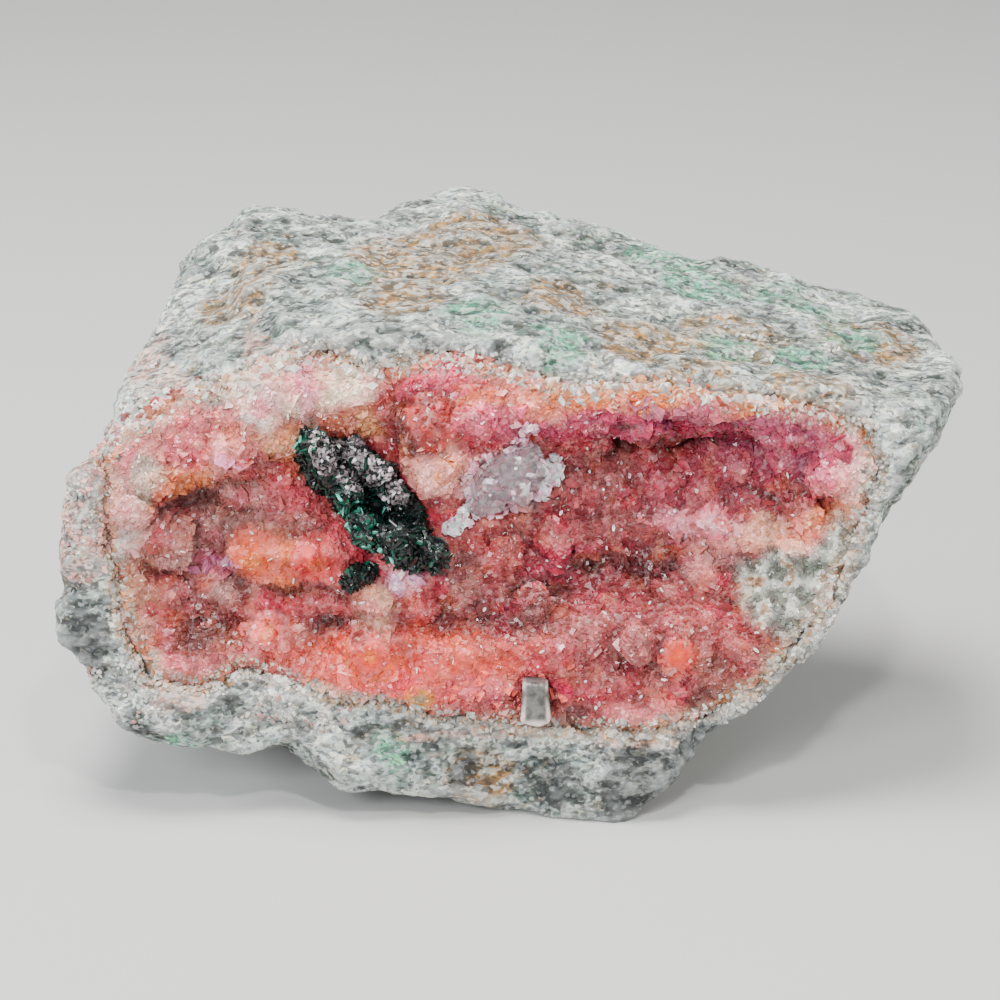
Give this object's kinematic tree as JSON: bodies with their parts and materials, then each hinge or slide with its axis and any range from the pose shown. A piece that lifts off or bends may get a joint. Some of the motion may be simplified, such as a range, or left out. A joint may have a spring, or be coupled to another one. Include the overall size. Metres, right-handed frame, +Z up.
{
  "type": "mineral specimen",
  "caption": "Wedge-shaped lump of grey-green rock whose leaning front face holds a hollow lined with pink dolomite crystals, dark green malachite and clear crystals",
  "frame": {"origin": "under the middle of the stone's bounding box, on the surface that it rests on", "axes": "+X to the right and +Y away from the viewer of the crystal-lined front face, +Z up"},
  "size_m": [0.0748, 0.0457, 0.0406],
  "materials": {
    "host_rock": "matte",
    "pink_dolomite": "satin",
    "malachite": "satin",
    "clear_crystal": "gloss",
    "grey_crystal": "satin"
  },
  "bodies": {
    "root": {"host_rock": "host_rock", "dolomite_crust": "pink_dolomite", "malachite_cluster": "malachite", "malachite_sprig": "malachite", "clear_crystals": "clear_crystal", "grey_crystal": "grey_crystal"}
  },
  "joints": []
}
